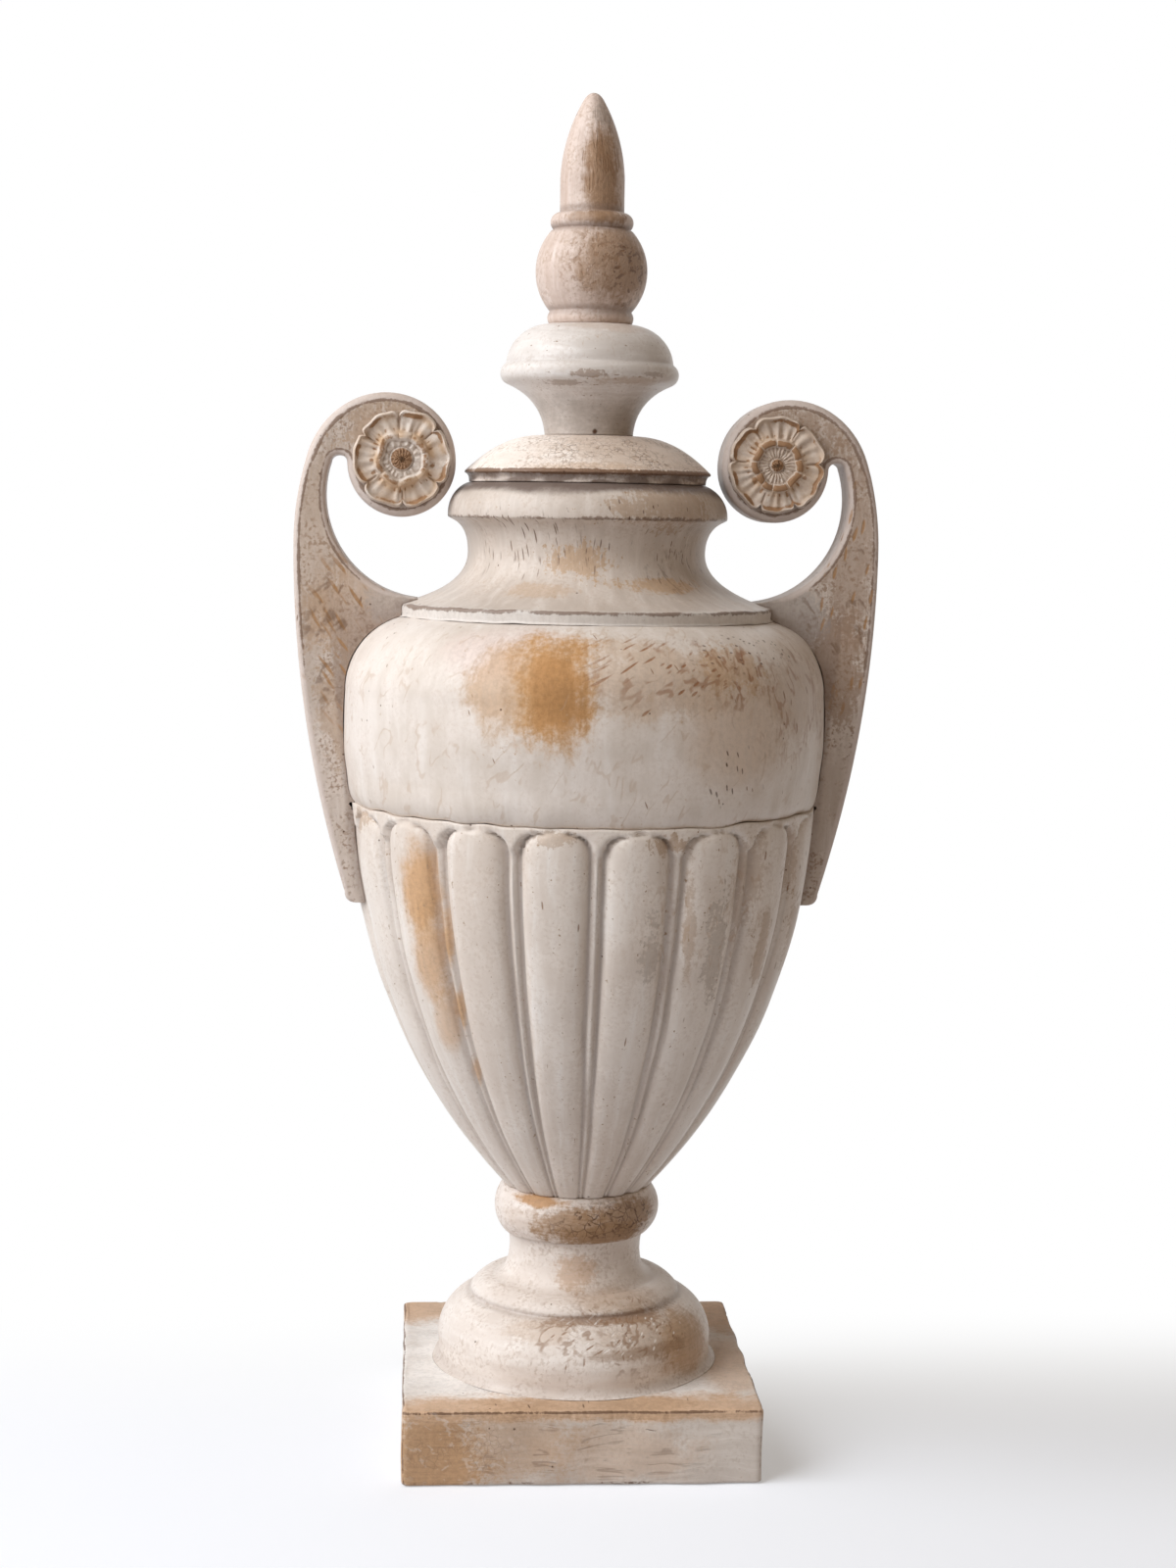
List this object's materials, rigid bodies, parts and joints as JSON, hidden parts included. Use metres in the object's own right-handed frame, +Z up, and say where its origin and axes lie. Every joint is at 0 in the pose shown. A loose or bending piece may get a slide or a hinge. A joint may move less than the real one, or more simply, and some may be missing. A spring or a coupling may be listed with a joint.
{
  "type": "amphora vase",
  "caption": "Lidded amphora urn with a fluted bowl, round shoulder, flared neck, scroll handles with rosettes and a pointed finial, on a square plinth; the lid lifts off.",
  "frame": {"origin": "centre of the plinth's underside", "axes": "+Z up along the turning axis, handles along X, front towards -Y"},
  "size_m": [0.2588, 0.2138, 0.5998],
  "materials": {
    "plinth_paint": "off-white paint over wood, brushed and rubbed back",
    "foot_paint": "off-white paint over wood, brushed and rubbed back",
    "collar_paint": "off-white paint over wood, brushed and rubbed back",
    "bowl_paint": "off-white paint over wood, brushed and rubbed back",
    "drum_paint": "off-white paint over wood, brushed and rubbed back",
    "neck_paint": "off-white paint over wood, brushed and rubbed back",
    "handle_paint": "off-white paint over wood, worn to brown along the edges",
    "rosette_paint": "carved, off-white paint with brown left in the recesses",
    "lid_paint": "off-white paint over wood, brushed and rubbed back",
    "knob_paint": "off-white paint over wood, brushed and rubbed back",
    "finial_paint": "thin pinkish-brown wash over wood, crackled",
    "dowel_wood": "bare turned wood"
  },
  "bodies": {
    "urn": {"plinth": "plinth_paint", "foot": "foot_paint", "foot_collar": "collar_paint", "centre_dowel": "dowel_wood", "fluted_bowl": "bowl_paint", "shoulder_drum": "drum_paint", "neck": "neck_paint", "handle_left": "handle_paint", "handle_right": "handle_paint", "handle_dowel_left_upper": "dowel_wood", "handle_dowel_left_lower": "dowel_wood", "handle_dowel_right_upper": "dowel_wood", "handle_dowel_right_lower": "dowel_wood", "rosette_left_front": "rosette_paint", "rosette_left_back": "rosette_paint", "rosette_right_front": "rosette_paint", "rosette_right_back": "rosette_paint"},
    "lid_assembly": {"lid": "lid_paint", "lid_knob": "knob_paint", "knob_dowel": "dowel_wood", "finial": "finial_paint", "finial_dowel": "dowel_wood"}
  },
  "joints": [
    {"name": "lid_lift", "type": "slide", "parent": "urn", "child": "lid_assembly", "axis": [0, 0, 1], "range_m": [0, 0.15]}
  ]
}
